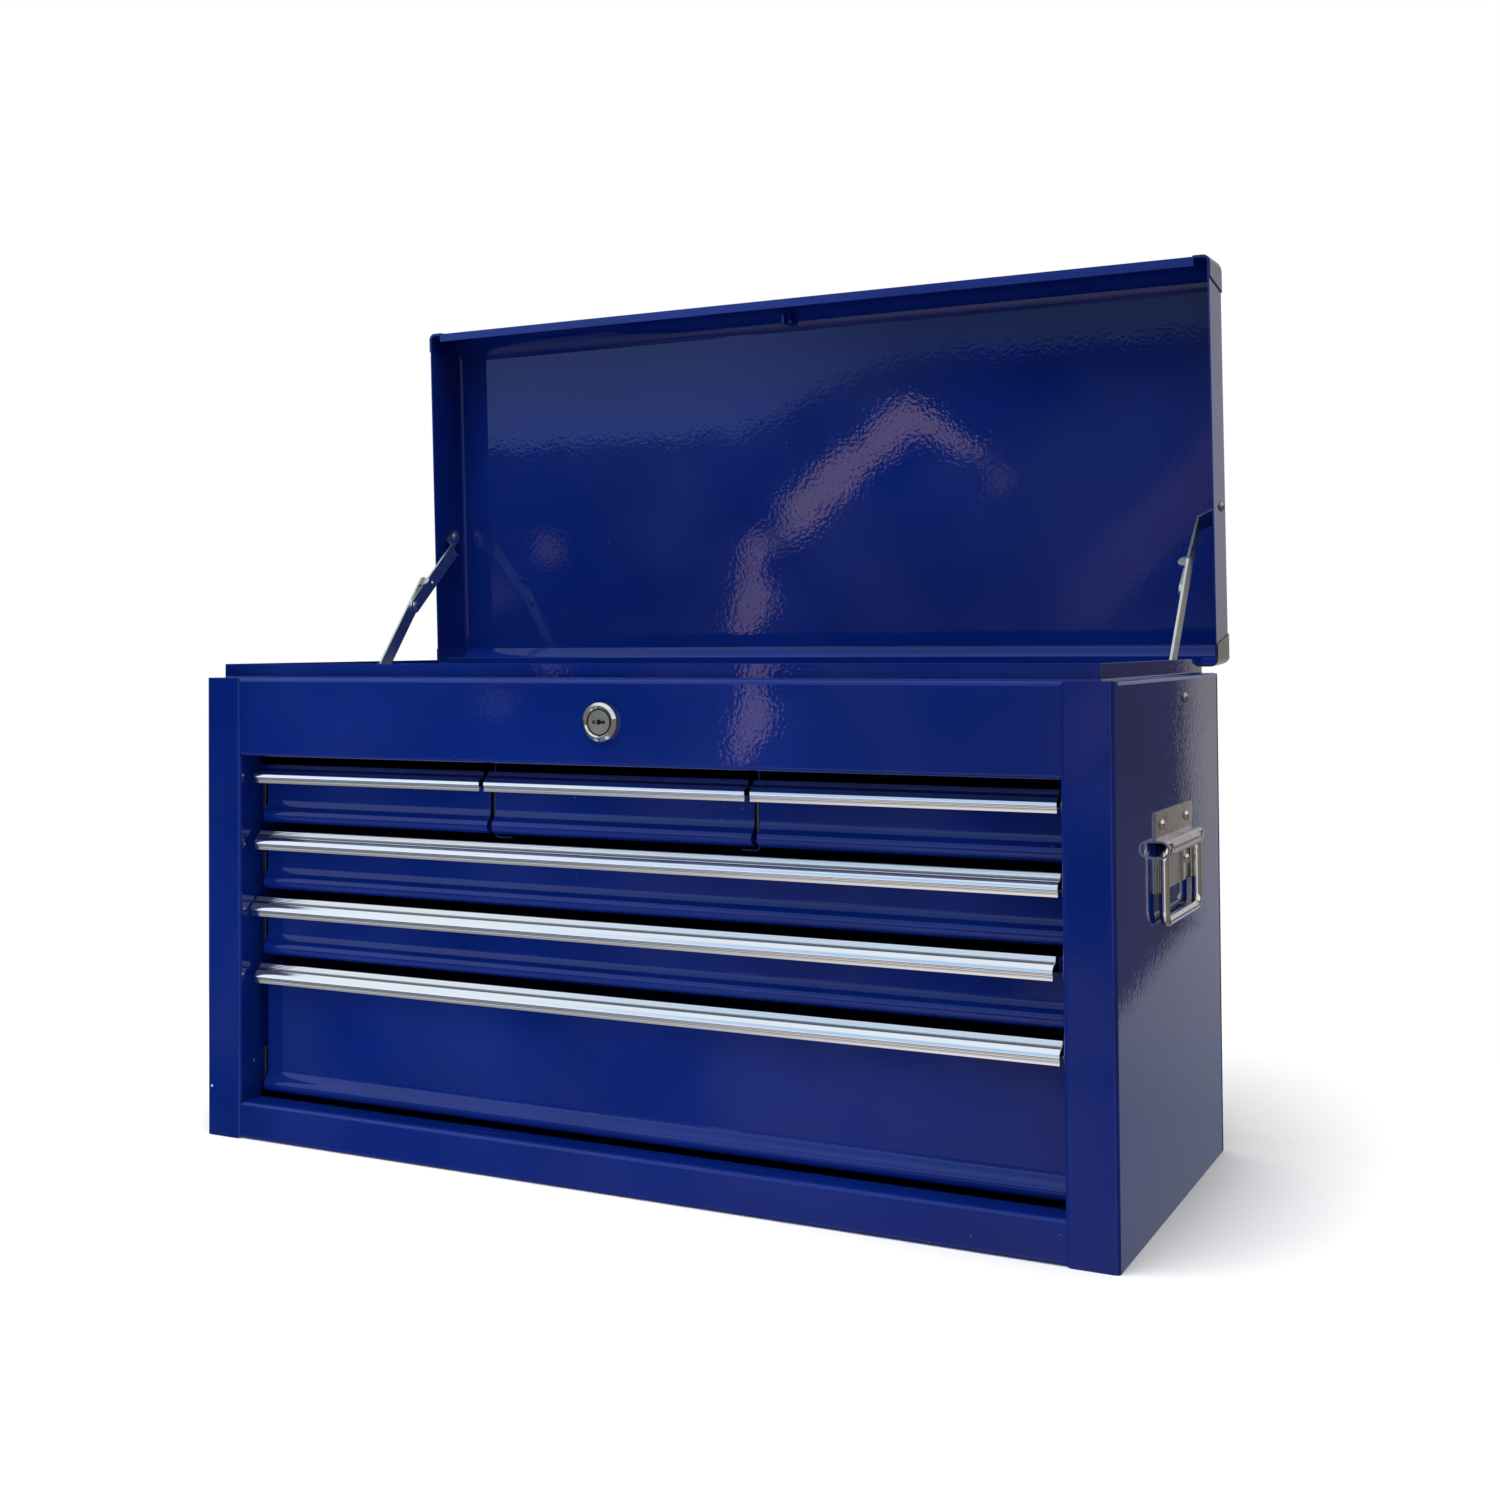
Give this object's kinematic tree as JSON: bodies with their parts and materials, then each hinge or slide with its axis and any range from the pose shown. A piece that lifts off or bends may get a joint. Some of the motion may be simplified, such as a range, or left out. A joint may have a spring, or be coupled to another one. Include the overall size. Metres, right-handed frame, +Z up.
{
  "type": "portable tool chest",
  "caption": "Portable steel tool chest with a hinged lid over a top tray, folding lid stays, ball-bearing drawers with full-width pulls, a cam lock and drop handles on the sides.",
  "frame": {"origin": "middle of the cabinet's footprint, on the surface that the chest stands on", "axes": "+X to the right as seen from the drawers, +Y towards the back, +Z up"},
  "size_m": [0.6172, 0.3087, 0.5659],
  "materials": {
    "blue_paint": "gloss",
    "pull_aluminium": "bright anodised",
    "slide_steel": "zinc plated",
    "zinc_steel": "zinc plated",
    "chrome": "polished",
    "black_cap": "satin"
  },
  "bodies": {
    "cabinet": {"side_panel_left": "blue_paint", "side_panel_right": "blue_paint", "back_panel": "blue_paint", "base_pan": "blue_paint", "header_panel": "blue_paint", "tray_floor": "blue_paint", "carrier_left": "blue_paint", "carrier_right": "blue_paint", "divider_left": "blue_paint", "divider_right": "blue_paint", "rails_row1": "slide_steel", "rails_row2": "slide_steel", "rails_row3": "slide_steel", "rails_row4": "slide_steel", "hinge_leaf_body": "zinc_steel", "hinge_pin": "zinc_steel", "stay_studs": "chrome", "lock_body": "chrome", "lock_nut": "zinc_steel", "handle_plate_left": "chrome", "handle_plate_right": "chrome", "handle_rivets": "chrome"},
    "lid": {"lid_shell": "blue_paint", "lid_corner_caps": "black_cap", "lid_catch": "blue_paint", "lid_rivets": "chrome", "hinge_leaf_lid": "zinc_steel"},
    "stay_lower_left": {"stay_lower_left": "zinc_steel"},
    "stay_lower_right": {"stay_lower_right": "zinc_steel"},
    "stay_upper_left": {"stay_upper_left": "zinc_steel"},
    "stay_upper_right": {"stay_upper_right": "zinc_steel"},
    "lock_cylinder": {"lock_plug": "chrome", "lock_cam": "zinc_steel"},
    "bail_left": {"handle_bail_left": "chrome"},
    "bail_right": {"handle_bail_right": "chrome"},
    "drawer_small_left": {"drawer_small_left": "blue_paint", "pull_small_left": "pull_aluminium", "runners_small_left": "slide_steel"},
    "drawer_small_mid": {"drawer_small_mid": "blue_paint", "pull_small_mid": "pull_aluminium", "runners_small_mid": "slide_steel"},
    "drawer_small_right": {"drawer_small_right": "blue_paint", "pull_small_right": "pull_aluminium", "runners_small_right": "slide_steel"},
    "drawer_upper": {"drawer_upper": "blue_paint", "pull_upper": "pull_aluminium", "runners_upper": "slide_steel"},
    "drawer_middle": {"drawer_middle": "blue_paint", "pull_middle": "pull_aluminium", "runners_middle": "slide_steel"},
    "drawer_deep": {"drawer_deep": "blue_paint", "pull_deep": "pull_aluminium", "runners_deep": "slide_steel"}
  },
  "joints": [
    {"name": "lid_hinge", "type": "hinge", "parent": "cabinet", "child": "lid", "pos_m": [0, 0.1345, 0.3], "axis": [1, 0, 0], "range_deg": [0, 88]},
    {"name": "stay_lower_left_pivot", "type": "hinge", "parent": "cabinet", "child": "stay_lower_left", "pos_m": [-0.2894, 0.0363, 0.287], "axis": [1, 0, 0], "range_deg": [0, 136]},
    {"name": "stay_middle_left_pivot", "type": "hinge", "parent": "stay_lower_left", "child": "stay_upper_left", "pos_m": [-0.2878, 0.08837, 0.35074], "axis": [1, 0, 0], "range_deg": [-144.5, 0]},
    {"name": "stay_lower_right_pivot", "type": "hinge", "parent": "cabinet", "child": "stay_lower_right", "pos_m": [0.2894, 0.0363, 0.287], "axis": [1, 0, 0], "range_deg": [0, 136]},
    {"name": "stay_middle_right_pivot", "type": "hinge", "parent": "stay_lower_right", "child": "stay_upper_right", "pos_m": [0.2878, 0.08837, 0.35074], "axis": [1, 0, 0], "range_deg": [-144.5, 0]},
    {"name": "lock_turn", "type": "hinge", "parent": "cabinet", "child": "lock_cylinder", "pos_m": [0, -0.129, 0.275], "axis": [0, -1, 0], "range_deg": [0, 90]},
    {"name": "bail_right_swing", "type": "hinge", "parent": "cabinet", "child": "bail_right", "pos_m": [0.3043, 0, 0.206], "axis": [0, -1, 0], "range_deg": [0, 90]},
    {"name": "bail_left_swing", "type": "hinge", "parent": "cabinet", "child": "bail_left", "pos_m": [-0.3043, 0, 0.206], "axis": [0, 1, 0], "range_deg": [0, 90]},
    {"name": "drawer_small_left_slide", "type": "slide", "parent": "cabinet", "child": "drawer_small_left", "axis": [0, -1, 0], "range_m": [0, 0.15]},
    {"name": "drawer_small_mid_slide", "type": "slide", "parent": "cabinet", "child": "drawer_small_mid", "axis": [0, -1, 0], "range_m": [0, 0.15]},
    {"name": "drawer_small_right_slide", "type": "slide", "parent": "cabinet", "child": "drawer_small_right", "axis": [0, -1, 0], "range_m": [0, 0.15]},
    {"name": "drawer_upper_slide", "type": "slide", "parent": "cabinet", "child": "drawer_upper", "axis": [0, -1, 0], "range_m": [0, 0.15]},
    {"name": "drawer_middle_slide", "type": "slide", "parent": "cabinet", "child": "drawer_middle", "axis": [0, -1, 0], "range_m": [0, 0.15]},
    {"name": "drawer_deep_slide", "type": "slide", "parent": "cabinet", "child": "drawer_deep", "axis": [0, -1, 0], "range_m": [0, 0.15]}
  ],
  "couplings": [
    {"joint": "stay_lower_left_pivot", "follows": "lid_hinge", "ratio": 1.5357},
    {"joint": "stay_middle_left_pivot", "follows": "lid_hinge", "ratio": -1.6336},
    {"joint": "stay_lower_right_pivot", "follows": "lid_hinge", "ratio": 1.5357},
    {"joint": "stay_middle_right_pivot", "follows": "lid_hinge", "ratio": -1.6336}
  ]
}
